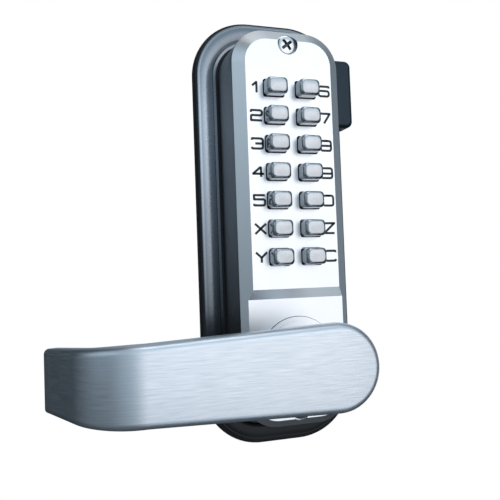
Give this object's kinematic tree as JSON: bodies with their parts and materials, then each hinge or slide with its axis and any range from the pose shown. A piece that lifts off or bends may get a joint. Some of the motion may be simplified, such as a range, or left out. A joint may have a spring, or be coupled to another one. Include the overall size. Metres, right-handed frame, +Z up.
{
  "type": "mechanical keypad lever lock",
  "caption": "Mechanical push-button door lock: narrow satin case with two columns of sprung keys on a gunmetal plate, with a flat brushed lever that turns down.",
  "frame": {"origin": "where the lever's axis meets the door's surface, which is the back of the gasket", "axes": "+Z up along the case, +Y into the door along the spindle, +X towards the lock edge; the keys face -Y and the lever points to -X"},
  "size_m": [0.1421, 0.1102, 0.1928],
  "materials": {
    "gasket_rubber": "matt moulded rubber",
    "plate_gunmetal": "glossy gunmetal lacquer",
    "case_satin": "satin chrome",
    "key_satin": "satin chrome",
    "lever_brushed": "fine lengthwise brushing",
    "screw_chrome": "bright",
    "block_moulding": "fine satin moulding",
    "inner_steel": "zinc plated",
    "spring_steel": "drawn wire",
    "chamber_alloy": "as cast",
    "inner_brass": "turned and milled"
  },
  "bodies": {
    "lock_body": {"door_gasket": "gasket_rubber", "base_plate": "plate_gunmetal", "front_housing": "case_satin", "rose_ring": "case_satin", "lever_bush": "inner_brass", "chamber_body": "chamber_alloy", "chamber_cover": "inner_steel", "chamber_screws": "inner_steel", "fixing_posts": "inner_steel", "face_screws": "screw_chrome", "side_block": "block_moulding", "key_springs": "spring_steel", "return_spring": "spring_steel"},
    "lever": {"lever_handle": "lever_brushed", "lever_hub": "inner_steel", "circlip": "inner_steel", "thrust_washer": "inner_steel", "drive_cam": "inner_steel", "spindle": "inner_steel", "grub_screw": "inner_steel"},
    "slide": {"code_slide": "inner_steel"},
    "button_1": {"key_1": "key_satin", "tumbler_1": "inner_brass"},
    "button_2": {"key_2": "key_satin", "tumbler_2": "inner_brass"},
    "button_3": {"key_3": "key_satin", "tumbler_3": "inner_brass"},
    "button_4": {"key_4": "key_satin", "tumbler_4": "inner_brass"},
    "button_5": {"key_5": "key_satin", "tumbler_5": "inner_brass"},
    "button_6": {"key_6": "key_satin", "tumbler_6": "inner_brass"},
    "button_7": {"key_7": "key_satin", "tumbler_7": "inner_brass"},
    "button_8": {"key_8": "key_satin", "tumbler_8": "inner_brass"},
    "button_9": {"key_9": "key_satin", "tumbler_9": "inner_brass"},
    "button_0": {"key_0": "key_satin", "tumbler_0": "inner_brass"},
    "button_x": {"key_x": "key_satin", "tumbler_x": "inner_brass"},
    "button_y": {"key_y": "key_satin", "tumbler_y": "inner_brass"},
    "button_z": {"key_z": "key_satin", "tumbler_z": "inner_brass"},
    "button_c": {"key_c": "key_satin", "tumbler_c": "inner_brass"}
  },
  "joints": [
    {"name": "lever_turn", "type": "hinge", "parent": "lock_body", "child": "lever", "pos_m": [0, 0, 0], "axis": [0, -1, 0], "range_deg": [0, 50], "stiffness_Nm_per_rad": 0.6, "springref_deg": -28.65, "deforming": ["return_spring"]},
    {"name": "code_slide_lift", "type": "slide", "parent": "lock_body", "child": "slide", "axis": [0, 0, 1], "range_m": [0, 0.004]},
    {"name": "key_1_press", "type": "slide", "parent": "lock_body", "child": "button_1", "axis": [0, 1, 0], "range_m": [0, 0.003], "stiffness_N_per_m": 300, "springref_m": -0.002, "deforming": ["key_springs"]},
    {"name": "key_2_press", "type": "slide", "parent": "lock_body", "child": "button_2", "axis": [0, 1, 0], "range_m": [0, 0.003], "stiffness_N_per_m": 300, "springref_m": -0.002, "deforming": ["key_springs"]},
    {"name": "key_3_press", "type": "slide", "parent": "lock_body", "child": "button_3", "axis": [0, 1, 0], "range_m": [0, 0.003], "stiffness_N_per_m": 300, "springref_m": -0.002, "deforming": ["key_springs"]},
    {"name": "key_4_press", "type": "slide", "parent": "lock_body", "child": "button_4", "axis": [0, 1, 0], "range_m": [0, 0.003], "stiffness_N_per_m": 300, "springref_m": -0.002, "deforming": ["key_springs"]},
    {"name": "key_5_press", "type": "slide", "parent": "lock_body", "child": "button_5", "axis": [0, 1, 0], "range_m": [0, 0.003], "stiffness_N_per_m": 300, "springref_m": -0.002, "deforming": ["key_springs"]},
    {"name": "key_6_press", "type": "slide", "parent": "lock_body", "child": "button_6", "axis": [0, 1, 0], "range_m": [0, 0.003], "stiffness_N_per_m": 300, "springref_m": -0.002, "deforming": ["key_springs"]},
    {"name": "key_7_press", "type": "slide", "parent": "lock_body", "child": "button_7", "axis": [0, 1, 0], "range_m": [0, 0.003], "stiffness_N_per_m": 300, "springref_m": -0.002, "deforming": ["key_springs"]},
    {"name": "key_8_press", "type": "slide", "parent": "lock_body", "child": "button_8", "axis": [0, 1, 0], "range_m": [0, 0.003], "stiffness_N_per_m": 300, "springref_m": -0.002, "deforming": ["key_springs"]},
    {"name": "key_9_press", "type": "slide", "parent": "lock_body", "child": "button_9", "axis": [0, 1, 0], "range_m": [0, 0.003], "stiffness_N_per_m": 300, "springref_m": -0.002, "deforming": ["key_springs"]},
    {"name": "key_0_press", "type": "slide", "parent": "lock_body", "child": "button_0", "axis": [0, 1, 0], "range_m": [0, 0.003], "stiffness_N_per_m": 300, "springref_m": -0.002, "deforming": ["key_springs"]},
    {"name": "key_x_press", "type": "slide", "parent": "lock_body", "child": "button_x", "axis": [0, 1, 0], "range_m": [0, 0.003], "stiffness_N_per_m": 300, "springref_m": -0.002, "deforming": ["key_springs"]},
    {"name": "key_y_press", "type": "slide", "parent": "lock_body", "child": "button_y", "axis": [0, 1, 0], "range_m": [0, 0.003], "stiffness_N_per_m": 300, "springref_m": -0.002, "deforming": ["key_springs"]},
    {"name": "key_z_press", "type": "slide", "parent": "lock_body", "child": "button_z", "axis": [0, 1, 0], "range_m": [0, 0.003], "stiffness_N_per_m": 300, "springref_m": -0.002, "deforming": ["key_springs"]},
    {"name": "key_c_press", "type": "slide", "parent": "lock_body", "child": "button_c", "axis": [0, 1, 0], "range_m": [0, 0.003], "stiffness_N_per_m": 300, "springref_m": -0.002, "deforming": ["key_springs"]}
  ],
  "couplings": [
    {"joint": "code_slide_lift", "follows": "lever_turn", "m_per_rad": 0.0045}
  ]
}
